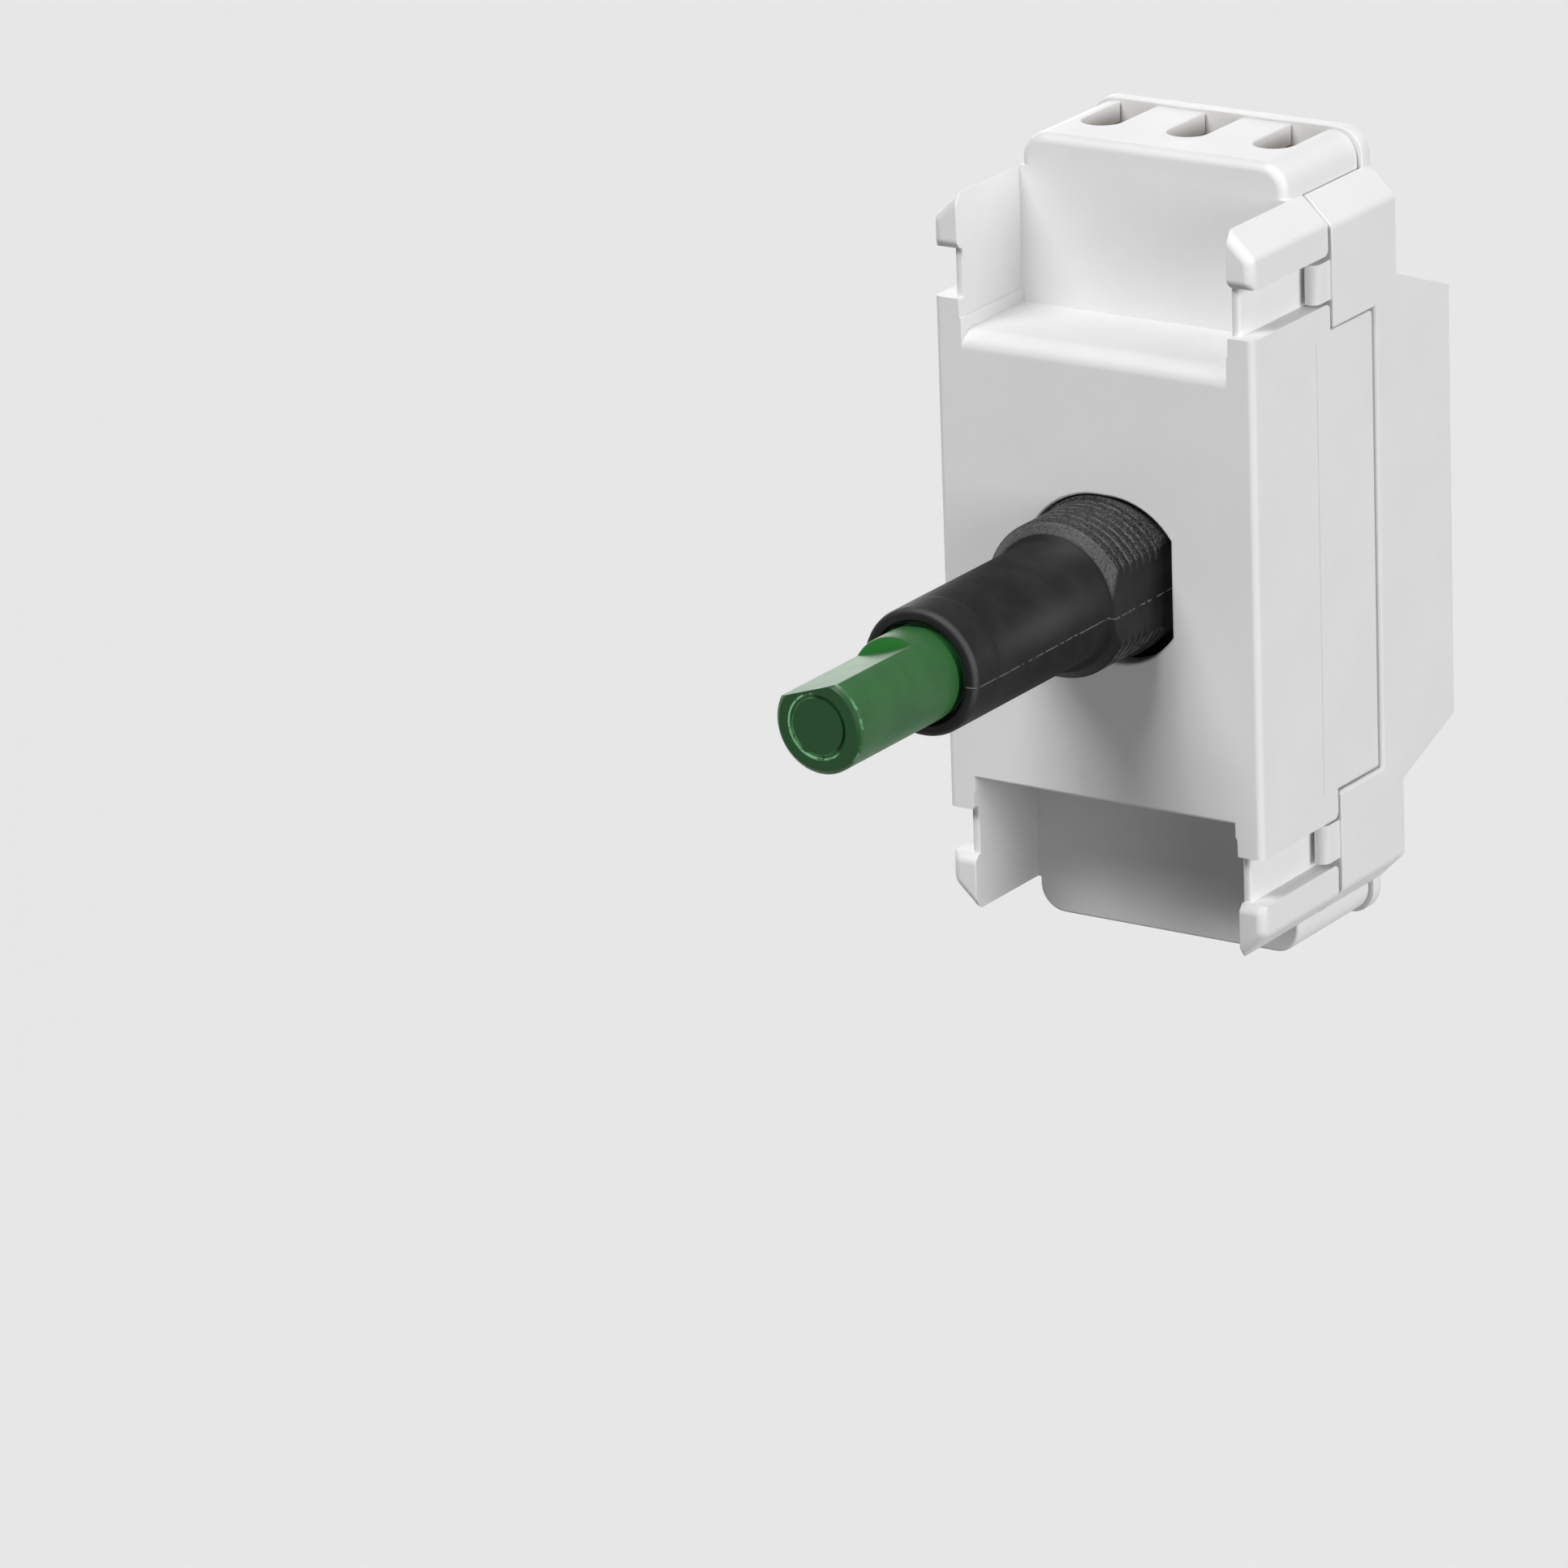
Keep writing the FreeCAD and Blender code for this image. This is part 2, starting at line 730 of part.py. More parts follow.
def power_transistor(side):
    x = side * (device_width + device_gap) / 2
    y0 = chamber_front + cage_gap + sink_thickness + pad_thickness
    top = -cavity_half_height - device_drop
    y1 = y0 + device_depth
    body = box(x - device_width / 2, x + device_width / 2, y0, y1, top - device_height, top)
    edges = edges_near(body, lambda e: middle(e).y > y1 - near)
    pieces = [body.makeChamfer(device_chamfer, edges)]
    h = lead_size / 2
    ly = y0 + device_depth / 2
    lz = -board_half_height + lead_size
    for place in (-1, 0, 1):
        lx = x + place * lead_pitch
        pieces.append(box(lx - h, lx + h, ly - h, ly + h, top, lz + h))
        pieces.append(box(lx - h, lx + h, ly - h, board_plane, lz - h, lz + h))
    return joined(pieces)


def sink_box(y0, y1, margin=0.0):
    reach = terminal_pitch + chamber_half - part_gap - cage_gap - margin
    low = -chamber_top + cage_gap + margin
    high = -cavity_half_height - sink_drop - margin
    return box(-reach, reach, y0, y1, low, high)


def heat_sink():
    y0 = chamber_front + cage_gap
    return sink_box(y0, y0 + sink_thickness)


def insulating_pad():
    y0 = chamber_front + cage_gap + sink_thickness
    return sink_box(y0, y0 + pad_thickness, pad_margin)


def controller_chip():
    y0 = board_plane + board_thickness
    h = chip_size / 2
    k = chip_ratio * h
    body = box(-h, h, y0 + chip_stand, y0 + chip_height, -k, k)
    legs = []
    for row in (-1, 1):
        for place in range(4):
            x = (place - 1.5) * chip_leg_pitch
            z0, z1 = sorted((row * k, row * (k + chip_leg_reach)))
            w = chip_leg_width / 2
            legs.append(box(x - w, x + w, y0, y0 + chip_leg_height, z0, z1))
    return joined([body] + legs)


def thermal_fuse():
    """Small round fuse lying along X, with its leads bent to the board."""
    y0 = board_plane + board_thickness
    y = y0 + fuse_stand
    z = board_half_height - fuse_inset
    half = fuse_length / 2
    body = Part.makeCylinder(fuse_radius, fuse_length, V(-half, y, z), V(1, 0, 0))
    reach = half + fuse_lead_reach
    h = fuse_lead / 2
    wire = box(-reach, reach, y - h, y + h, z - h, z + h)
    leg = box(reach - fuse_lead, reach, y0, y + h, z - h, z + h)
    return joined([body, wire] + both_x(leg))


def terminal_plate(x):
    """Fixed conductor: a tongue inside the clamp and a foot back to the board."""
    w = plate_width / 2
    tongue = box(x - w, x + w, plate_front, plate_rear, plate_foot, chamber_top - plate_top_gap)
    foot = box(x - w, x + w, plate_front, board_plane, plate_foot, plate_foot + plate_thickness)
    return joined([tongue, foot])


def terminal_cage(x):
    """Rising clamp: a box round the tongue, drawn back by the screw."""
    w, t = chamber_half - cage_gap, cage_wall
    outer = box(x - w, x + w, cage_front, cage_rear, cage_low, cage_high)
    edges = edges_near(outer, lambda e: straight_along(e, 2))
    outer = outer.makeChamfer(t / 2, edges)
    window = box(x - w + t, x + w - t, cage_front + t, cage_rear - t, cage_low - past, cage_high + past)
    hole = rod(screw_radius + running, cage_rear - t - past / 2, cage_rear + past, x, screw_z)
    return outer.cut([window, hole])


def terminal_screw(x):
    shank = rod(screw_radius, plate_rear + seat_gap, screw_head_front, x, screw_z)
    head = rod(screw_head, screw_head_front, end_plane, x, screw_z)
    reach = screw_head + past
    slot_rear = end_plane - screw_head_height / 2
    slot = box(x - reach, x + reach, slot_rear, end_plane + past, screw_z - screw_slot / 2,
               screw_z + screw_slot / 2)
    return joined([shank, head]).cut(slot)


def main():
    os.makedirs("parts", exist_ok=True)
    save(front_casing(), "front_casing")
    save(rear_casing(), "rear_casing")
    save(threaded_bush(), "threaded_bush")
    save(control_shaft(), "control_shaft")
    save(retaining_clip(), "retaining_clip")
    save(pot_housing(), "pot_housing")
    save(wiper_rotor(), "wiper_rotor")
    save(wiper_contact(), "wiper_contact")
    save(resistive_element(), "resistive_element")
    save(pot_terminals(), "pot_terminals")
    save(switch_housing(), "switch_housing")
    save(switch_plunger(), "switch_plunger")
    save(moving_contact(), "moving_contact")
    save(fixed_contacts(), "fixed_contacts")
    save(return_spring(), "return_spring")
    save(circuit_board(), "circuit_board")
    save(film_capacitor(), "film_capacitor")
    save(electrolytic_capacitor(), "electrolytic_capacitor")
    save(choke_core(), "choke_core")
    save(choke_winding(), "choke_winding")
    save(power_transistor(-1), "power_transistor_left")
    save(power_transistor(1), "power_transistor_right")
    save(insulating_pad(), "insulating_pad")
    save(heat_sink(), "heat_sink")
    save(controller_chip(), "controller_chip")
    save(thermal_fuse(), "thermal_fuse")
    for place, x in terminal_places().items():
        save(terminal_plate(x), "terminal_plate_" + place)
        save(terminal_cage(x), "terminal_cage_" + place)
        save(terminal_screw(x), "terminal_screw_" + place)


main()
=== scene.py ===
import bmesh
import bpy
import math
from mathutils import Matrix, Vector


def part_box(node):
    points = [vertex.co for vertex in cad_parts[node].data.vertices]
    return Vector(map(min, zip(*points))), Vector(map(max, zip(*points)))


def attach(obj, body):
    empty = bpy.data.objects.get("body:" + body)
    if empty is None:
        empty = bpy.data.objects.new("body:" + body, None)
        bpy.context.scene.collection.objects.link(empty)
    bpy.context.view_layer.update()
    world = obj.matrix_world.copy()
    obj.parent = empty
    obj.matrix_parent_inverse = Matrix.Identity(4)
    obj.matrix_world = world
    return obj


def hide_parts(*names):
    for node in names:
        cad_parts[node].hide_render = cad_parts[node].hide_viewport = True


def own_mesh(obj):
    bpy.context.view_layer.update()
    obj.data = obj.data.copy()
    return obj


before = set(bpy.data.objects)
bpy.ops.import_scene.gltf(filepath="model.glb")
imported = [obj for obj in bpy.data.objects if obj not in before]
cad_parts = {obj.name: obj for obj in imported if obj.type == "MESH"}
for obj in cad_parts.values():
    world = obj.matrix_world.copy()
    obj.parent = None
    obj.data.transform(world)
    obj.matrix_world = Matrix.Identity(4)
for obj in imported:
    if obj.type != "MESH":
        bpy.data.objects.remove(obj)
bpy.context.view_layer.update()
mm = 0.001
print("frame loaded with", len(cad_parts), "nodes")


# Camera that sees the module as the photograph does
cameraSet = {
    "azimuth": 33.824,      # degrees to the right of straight ahead
    "elevation": 19.093,
    "roll": -2.117,
    "distance": 0.581837,
    "shiftRight": -0.019107,
    "shiftUp": -0.012508,
    "lens": 219.63,
    "sensor": 36.0,
}


def makeCamera():
    c = cameraSet
    azimuth, elevation, roll = [math.radians(c[key]) for key in ("azimuth", "elevation", "roll")]
    level = Vector((math.cos(azimuth), math.sin(azimuth), 0))
    back = Vector((math.sin(azimuth), -math.cos(azimuth), 0)) * math.cos(elevation)
    back.z = math.sin(elevation)
    above = back.cross(level)
    right = level * math.cos(roll) + above * math.sin(roll)
    up = above * math.cos(roll) - level * math.sin(roll)
    data = bpy.data.cameras.new("camera")
    data.lens = c["lens"]
    data.sensor_width = c["sensor"]
    data.clip_start = 0.01
    data.clip_end = 50
    camera = bpy.data.objects.new("camera", data)
    spot = right * c["shiftRight"] + up * c["shiftUp"] + back * c["distance"]
    camera.matrix_world = Matrix.Translation(spot) @ Matrix((right, up, back)).transposed().to_4x4()
    bpy.context.scene.collection.objects.link(camera)
    bpy.context.scene.camera = camera


makeCamera()
print("camera placed")


# Shader writing: a Wire is one socket, and sums on it add Math nodes
class Wire:
    def __init__(self, tree, socket=None):
        self.tree = tree
        self.socket = socket

    def node(self, kind, settings=None, sockets=None, output=0):
        made = self.tree.nodes.new("ShaderNode" + kind)
        for name, value in (settings or {}).items():
            setattr(made, name, value)
        for name, value in (sockets or {}).items():
            self.join(made.inputs[name], value)
        return Wire(self.tree, made.outputs[output])

    def join(self, socket, value):
        if isinstance(value, Wire):
            self.tree.links.new(value.socket, socket)
        else:
            socket.default_value = value

    def maths(self, operation, first, second=0.0, clamp=False):
        return self.node("Math", {"operation": operation, "use_clamp": clamp}, {0: first, 1: second})

    def __add__(self, other):
        return self.maths("ADD", self, other)

    def __sub__(self, other):
        return self.maths("SUBTRACT", self, other)

    def __rsub__(self, other):
        return self.maths("SUBTRACT", other, self)

    def __mul__(self, other):
        return self.maths("MULTIPLY", self, other)

    __radd__ = __add__
    __rmul__ = __mul__

    def size(self):
        return self.maths("ABSOLUTE", self)

    def most(self, other):
        return self.maths("MAXIMUM", self, other)

    def over(self, low, high):
        # 0 below low and 1 above high, with a soft step between
        sockets = {"Value": self, "From Min": low, "From Max": high}
        return self.node("MapRange", {"interpolation_type": "SMOOTHSTEP"}, sockets)

    def under(self, low, high):
        return 1 - self.over(low, high)

    def near(self, centre, inner, outer):
        # 1 within inner of the centre and 0 beyond outer
        return (self - centre).size().under(inner, outer)

    def mix(self, first, second):
        # first where this wire is 0, second where it is 1
        return self.node("Mix", {"data_type": "RGBA"}, {0: self, 6: first, 7: second}, output=2)


def rgb(red, green, blue):
    return (red, green, blue, 1.0)


class Finish:
    # One new material with its shader and its place on the object, in millimetres
    def __init__(self, name):
        self.material = bpy.data.materials.new(name)
        self.material.use_nodes = True
        tree = self.material.node_tree
        self.shader = tree.nodes["Principled BSDF"]
        self.wire = Wire(tree)
        place = self.wire.node("TexCoord", output=3)
        self.place = self.wire.node("VectorMath", {"operation": "SCALE"}, {0: place, "Scale": 1000.0})

    def along(self, axis):
        return self.wire.node("SeparateXYZ", sockets={0: self.place}, output="XYZ".index(axis))

    def noise(self, scale, detail=2.0, stretch=(1, 1, 1)):
        place = self.wire.node("Mapping", sockets={"Vector": self.place, "Scale": stretch})
        sockets = {"Vector": place, "Scale": scale, "Detail": detail, "Roughness": 0.55}
        return self.wire.node("TexNoise", sockets=sockets)

    def radius(self):
        # distance from the bush axis, in millimetres
        flat = self.wire.node("Mapping", sockets={"Vector": self.place, "Scale": (1, 0, 1)})
        return self.wire.node("VectorMath", {"operation": "LENGTH"}, {0: flat}, output=1)

    def feed(self, socket, value):
        self.wire.join(self.shader.inputs[socket], value)

    def bump(self, height, depth):
        # depth in metres for a height of 1
        sockets = {"Height": height, "Distance": depth, "Strength": 1.0}
        self.feed("Normal", self.wire.node("Bump", sockets=sockets))


def plastic(name, colour, shade, roughness, grain=6.0, depth=0.000004, coat=0.0):
    # moulded plastic with slow flow shading and a fine satin grain
    finish = Finish(name)
    flow = finish.noise(0.12, 3.0)
    fine = finish.noise(grain)
    finish.feed("Base Color", flow.over(0.35, 0.7).mix(colour, shade))
    finish.feed("Roughness", flow * 0.14 + fine * 0.06 + (roughness - 0.1))
    finish.feed("Coat Weight", coat)
    finish.bump(fine + flow * 3.0, depth)
    return finish.material


def metal(name, colour, shade, roughness, stretch=(1, 1, 1), scale=4.0, depth=0.000003):
    # metal with drawn or brushed marks along the short side of the stretch
    finish = Finish(name)
    marks = finish.noise(scale, 4.0, stretch)
    stain = finish.noise(0.5, 3.0)
    finish.feed("Base Color", stain.over(0.4, 0.72).mix(colour, shade))
    finish.feed("Metallic", 1.0)
    finish.feed("Roughness", marks * 0.22 + stain * 0.12 + (roughness - 0.16))
    finish.bump(marks, depth)
    return finish.material


# Casing: white satin plastic with a mould parting line down each side
casingLook = {
    "colour": rgb(0.82, 0.82, 0.818),
    "shade": rgb(0.795, 0.795, 0.792),
    "partingGrey": rgb(0.62, 0.615, 0.60),
    "roughness": 0.48,
    "shine": 0.30,
    "sideX": 11.0,          # the parting line is only on faces beyond this
    "partingY": 7.53,
    "partingEnd": 14.5,
    "partingWidth": 0.06,
}


def casingPlastic():
    look = casingLook
    finish = Finish("casingPlastic")
    flow = finish.noise(0.16, 3.0)
    fine = finish.noise(7.0)
    across, along, up = [finish.along(axis) for axis in "XYZ"]
    onSide = across.size().over(look["sideX"], look["sideX"] + 0.15)
    onSide = onSide * up.size().under(look["partingEnd"] - 0.1, look["partingEnd"])
    parting = onSide * along.near(look["partingY"], 0.0, look["partingWidth"])
    base = flow.over(0.3, 0.7).mix(look["colour"], look["shade"])
    # the parting line is painted a darker grey than the casing
    finish.feed("Base Color", (parting * 0.45).mix(base, look["partingGrey"]))
    finish.feed("Specular IOR Level", look["shine"])
    finish.feed("Roughness", flow * 0.12 + fine * 0.08 + (look["roughness"] - 0.1))
    finish.bump(fine * 0.7 + flow * 4.0 - parting * 6.0, 0.000005)
    return finish.material


# Bush: black plastic, greyed on the crests of the thread and along the mould seam, with painted highlights
# in grey on the upper side of the thread, its front chamfer and the upper right of the nose's end
bushLook = {
    "colour": rgb(0.011, 0.011, 0.012),
    "shade": rgb(0.017, 0.017, 0.018),
    "shine": 0.13,
    "paleWearAndHighlight": rgb(0.17, 0.17, 0.175),
    "roughness": 0.46,
    "pitch": 0.75,
    "flatX": 4.40,
    "landRadius": 4.60,
    "crestRadius": 4.86,
    "crestPhase": 0.76,     # where round the pitch the chafed edge of the land runs
    "crestWidth": 0.07,
    "rimRadius": 4.25,
    "rimFrom": -5.32,
    "rimTo": -4.72,
    "seamHeight": -0.4,
    "seamWidth": 0.07,
    "bandY": -17.8,
    "boreRadius": 3.06,
    "tipRadius": 3.66,
    "tipY": -20.2,
    "chafedAndLit": {"crest": 0.9, "speckAndHighlight": 0.4, "rimWearAndHighlight": 0.38, "boreRim": 0.8, "tipHighlight": 0.3},
}


def bushPlastic():
    look = bushLook
    finish = Finish("bushPlastic")
    flow = finish.noise(0.5, 3.0)
    fine = finish.noise(9.0)
    chafe = finish.noise(2.2, 4.0)
    across, along, up = [finish.along(axis) for axis in "XYZ"]
    radius = finish.radius()
    turn = finish.wire.maths("ARCTAN2", up, across) * (1 / math.tau)
    phase = finish.wire.maths("FRACT", along * (1 / look["pitch"]) + turn)
    offFlat = across.under(look["flatX"] - 0.15, look["flatX"] - 0.05)
    # edges of the thread, and specks on its upper side, which are partly painted highlight
    onThread = radius.over(look["landRadius"], look["landRadius"] + 0.1) * offFlat
    onThread = onThread * along.over(look["rimFrom"] + 0.07, look["rimFrom"] + 0.12)
    crest = phase.near(look["crestPhase"], 0.0, look["crestWidth"]) * onThread * chafe.over(0.36, 0.60)
    speckAndHighlight = radius.over(look["crestRadius"], look["crestRadius"] + 0.06) * offFlat
    speckAndHighlight = speckAndHighlight * fine.over(0.44, 0.62) * up.over(1.0, 3.4)
    # chamfer in front of the thread, greyed on its upper side only: partly painted highlight
    rimWearAndHighlight = along.over(look["rimFrom"], look["rimFrom"] + 0.02)
    rimWearAndHighlight = rimWearAndHighlight * along.under(look["rimTo"] - 0.05, look["rimTo"])
    rimWearAndHighlight = rimWearAndHighlight * radius.over(look["rimRadius"], look["rimRadius"] + 0.1) * offFlat
    rimWearAndHighlight = rimWearAndHighlight * up.over(0.2, 1.6) * (fine.over(0.3, 0.6) + 0.4)
    # end of the nose: a broken pale line round the bore, and a painted highlight on the upper right of its
    # outer edge
    onTip = along.under(look["tipY"], look["tipY"] + 0.25)
    boreRim = onTip * radius.near(look["boreRadius"], 0.03, 0.10) * chafe.over(0.46, 0.56)
    tipHighlight = onTip * radius.over(look["tipRadius"], look["tipRadius"] + 0.2) * (across + up).over(0.0, 4.0)
    # mould seam along the right side, more broken on the flat
    nearSeam = (up + (flow - 0.5) * 0.15).near(look["seamHeight"], 0.0, look["seamWidth"])
    onFlat = across.over(look["flatX"] - 0.10, look["flatX"] - 0.04)
    broken = onFlat.mix(chafe.over(0.40, 0.52), finish.noise(1.1).over(0.52, 0.57))
    seam = nearSeam * across.over(3.0, 3.3) * broken
    band = along.near(look["bandY"], 0.02, 0.09)
    much = look["chafedAndLit"]
    # the grey mix: wear on the crests, bore and seam, and painted highlight in the specks, the chamfer and
    # the nose's end
    wearAndHighlight = (crest * much["crest"]).most(speckAndHighlight * much["speckAndHighlight"])
    wearAndHighlight = wearAndHighlight.most(rimWearAndHighlight * much["rimWearAndHighlight"] + boreRim * much["boreRim"] + tipHighlight * much["tipHighlight"]).most(seam)
    base = flow.over(0.35, 0.7).mix(look["colour"], look["shade"])
    finish.feed("Specular IOR Level", look["shine"])
    finish.feed("Base Color", wearAndHighlight.mix(base, look["paleWearAndHighlight"]))
    finish.feed("Roughness", flow * 0.08 + wearAndHighlight * 0.15 + (look["roughness"] - 0.04))
    finish.bump(fine * 0.5 + flow * 0.5 + seam * 8.0 - band * 10.0, 0.000005)
    return finish.material


# Shaft: green plastic, with painted shade darkening its end, and a pale line in the ring and along the rim
# that is partly chafe and partly painted highlight
shaftLook = {
    "colour": rgb(0.026, 0.118, 0.030),
    "shade": rgb(0.020, 0.098, 0.026),
    "endShade": rgb(0.006, 0.052, 0.010),
    "stepColour": rgb(0.022, 0.190, 0.030),
    "paleWearAndHighlight": rgb(0.22, 0.50, 0.26),
    "shine": 0.30,
    "roughness": 0.44,
    "ringInner": 1.74,
    "ringOuter": 2.07,
    "rimRadius": 2.88,
    "endY": -31.4,
    "stepY": -23.0,
    "stepRadius": 2.90,
}


def shaftPlastic():
    look = shaftLook
    finish = Finish("shaftPlastic")
    flow = finish.noise(0.45, 3.0)
    fine = finish.noise(8.0)
    chafe = finish.noise(1.6, 4.0)
    across, along, up = [finish.along(axis) for axis in "XYZ"]
    radius = finish.radius()
    onEnd = along.under(look["endY"] + 0.12, look["endY"] + 0.24)
    inRing = radius.over(look["ringInner"] - 0.02, look["ringInner"] + 0.02)
    inRing = inRing * radius.under(look["ringOuter"] - 0.02, look["ringOuter"] + 0.02)
    # painted highlight: the ring's pale line is kept to its lower left, broken by the chafe noise
    lowerLeft = (0.9 - across - up * 0.5).over(0.0, 0.7)
    ringChafeAndHighlight = inRing * onEnd * lowerLeft * chafe.over(0.36, 0.50)
    # the pale line along the rim is kept to its right side: chafe and painted highlight together
    nearRim = radius.over(look["rimRadius"], look["rimRadius"] + 0.04) * across.over(0.5, 1.5)
    rimWearAndHighlight = nearRim * along.under(look["endY"] + 0.28, look["endY"] + 0.36) * chafe.over(0.44, 0.56)
    inStep = radius.under(look["stepRadius"], look["stepRadius"] + 0.04)
    onStep = along.near(look["stepY"], 0.02, 0.08) * inStep
    base = flow.over(0.35, 0.7).mix(look["colour"], look["shade"])
    # painted shade: the end face and the front half of its chamfer take the darker end green
    base = onStep.mix(onEnd.mix(base, look["endShade"]), look["stepColour"])
    finish.feed("Base Color", ringChafeAndHighlight.most(rimWearAndHighlight * 0.5).mix(base, look["paleWearAndHighlight"]))
    finish.feed("Specular IOR Level", look["shine"])
    finish.feed("Roughness", flow * 0.08 + chafe * 0.06 + (look["roughness"] - 0.07))
    finish.bump(fine * 0.6 + flow * 0.8, 0.000005)
    return finish.material


# Circuit board: green lacquer over copper tracks, which show as a paler raised pattern
boardLook = {
    "lacquer": rgb(0.012, 0.085, 0.035),
    "track": rgb(0.03, 0.17, 0.06),
    "trackPitch": 0.55,
}


def boardLacquer():
    look = boardLook
    finish = Finish("boardLacquer")
    cells = finish.wire.node("TexVoronoi", {"distance": "MANHATTAN", "feature": "F1"},
                             {"Vector": finish.place, "Scale": look["trackPitch"]})
    tracks = cells.over(0.42, 0.46)
    weave = finish.noise(5.0, 2.0)
    finish.feed("Base Color", tracks.mix(look["track"], look["lacquer"]))
    finish.feed("Roughness", weave * 0.1 + 0.25)
    finish.bump(tracks * -5.0 + weave, 0.000005)
    return finish.material


# Choke winding: enamelled copper wire laid side by side round the core, with painted shade in the gaps
# between turns
windingLook = {
    "copper": rgb(0.62, 0.24, 0.10),
    "gap": rgb(0.10, 0.035, 0.015),
    "turns": 46.0,
    "centreY": 9.0,
}


def windingCopper():
    look = windingLook
    finish = Finish("windingCopper")
    shifted = finish.along("Y") - look["centreY"]
    angle = finish.wire.maths("ARCTAN2", shifted, finish.along("X"))
    wave = finish.wire.maths("SINE", angle * look["turns"])
    crown = wave * 0.5 + 0.5
    stain = finish.noise(0.8, 3.0)
    finish.feed("Base Color", crown.over(0.05, 0.4).mix(look["gap"], look["copper"]))
    finish.feed("Metallic", 0.85)
    finish.feed("Roughness", stain * 0.2 + 0.22)
    finish.bump(crown, 0.00012)
    return finish.material


def coatedCore():
    # grey pressed ferrite with dark pits
    finish = Finish("coatedCore")
    pits = finish.noise(3.0, 5.0)
    finish.feed("Base Color", pits.over(0.35, 0.55).mix(rgb(0.035, 0.035, 0.04), rgb(0.09, 0.09, 0.10)))
    finish.feed("Roughness", pits * 0.2 + 0.5)
    finish.bump(pits, 0.00002)
    return finish.material


def printedSleeve(name, colour, stripe, start):
    # shrunk sleeve with the plain pale stripe that marks the negative side
    finish = Finish(name)
    across = finish.along("X")
    fine = finish.noise(5.0)
    mark = across.over(start, start + 0.08)
    finish.feed("Base Color", mark.mix(colour, stripe))
    finish.feed("Roughness", fine * 0.1 + 0.25)
    finish.bump(fine, 0.000003)
    return finish.material


finishes = {
    "casing": casingPlastic(),
    "bush": bushPlastic(),
    "shaft": shaftPlastic(),
    "blackPart": plastic("blackPart", rgb(0.022, 0.022, 0.024), rgb(0.03, 0.03, 0.032), 0.42),
    "naturalPart": plastic("naturalPart", rgb(0.66, 0.62, 0.52), rgb(0.60, 0.56, 0.46), 0.38),
    "board": boardLacquer(),
    "filmBox": plastic("filmBox", rgb(0.72, 0.48, 0.06), rgb(0.66, 0.43, 0.05), 0.3, coat=0.2),
    "sleeve": printedSleeve("sleeve", rgb(0.02, 0.025, 0.06), rgb(0.5, 0.52, 0.55), 8.6),
    "core": coatedCore(),
    "winding": windingCopper(),
    "device": plastic("device", rgb(0.018, 0.018, 0.018), rgb(0.028, 0.028, 0.028), 0.5,
                      grain=9.0, depth=0.00001),
    "pad": plastic("pad", rgb(0.32, 0.34, 0.36), rgb(0.27, 0.29, 0.31), 0.75, grain=11.0, depth=0.00002),
    "fuseBody": plastic("fuseBody", rgb(0.58, 0.47, 0.33), rgb(0.51, 0.41, 0.28), 0.6, grain=8.0),
    "track": plastic("track", rgb(0.05, 0.032, 0.02), rgb(0.08, 0.05, 0.03), 0.5, grain=9.0, depth=0.000008),
    "spring": metal("spring", rgb(0.56, 0.56, 0.57), rgb(0.44, 0.44, 0.46), 0.25, scale=3.0),
    "screw": metal("screw", rgb(0.62, 0.61, 0.57), rgb(0.52, 0.50, 0.44), 0.3, scale=5.0),
    "tinned": metal("tinned", rgb(0.66, 0.66, 0.65), rgb(0.55, 0.55, 0.54), 0.35, (6, 1, 1)),
    "contact": metal("contact", rgb(0.72, 0.52, 0.23), rgb(0.60, 0.42, 0.18), 0.28, (1, 6, 1)),
    "clamp": metal("clamp", rgb(0.68, 0.50, 0.24), rgb(0.55, 0.39, 0.18), 0.32, (1, 1, 5)),
    "sink": metal("sink", rgb(0.76, 0.77, 0.78), rgb(0.68, 0.69, 0.70), 0.36, (8, 1, 1)),
}

nodeFinish = {
    "front_casing": "casing", "rear_casing": "casing", "threaded_bush": "bush", "control_shaft": "shaft",
    "retaining_clip": "spring", "pot_housing": "blackPart", "wiper_rotor": "naturalPart",
    "wiper_contact": "contact", "resistive_element": "track", "pot_terminals": "tinned",
    "switch_housing": "blackPart", "switch_plunger": "naturalPart", "moving_contact": "contact",
    "fixed_contacts": "contact", "return_spring": "spring", "circuit_board": "board",
    "film_capacitor": "filmBox", "electrolytic_capacitor": "sleeve", "choke_core": "core",
    "choke_winding": "winding", "power_transistor_left": "device", "power_transistor_right": "device",
    "insulating_pad": "pad", "heat_sink": "sink", "controller_chip": "device", "thermal_fuse": "fuseBody",
}
places = ("left", "middle", "right")
for where in places:
    nodeFinish["terminal_plate_" + where] = "clamp"
    nodeFinish["terminal_cage_" + where] = "clamp"
    nodeFinish["terminal_screw_" + where] = "screw"
for node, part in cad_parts.items():
    part.data.materials.clear()
    part.data.materials.append(finishes[nodeFinish[node]])
print("materials on", len(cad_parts), "nodes")


# Shared making of pieces
mergeSet = {"loose": 0.002 * mm, "spun": 0.001 * mm, "flatBelow": 1}       # distances, and degrees


def makePiece(bm, name, finish):
    bmesh.ops.recalc_face_normals(bm, faces=bm.faces)
    mesh = bpy.data.meshes.new(name)
    bm.to_mesh(mesh)
    bm.free()
    mesh.shade_smooth()
    mesh.materials.append(finishes[finish])
    piece = bpy.data.objects.new(name, mesh)
    bpy.context.scene.collection.objects.link(piece)
    return piece


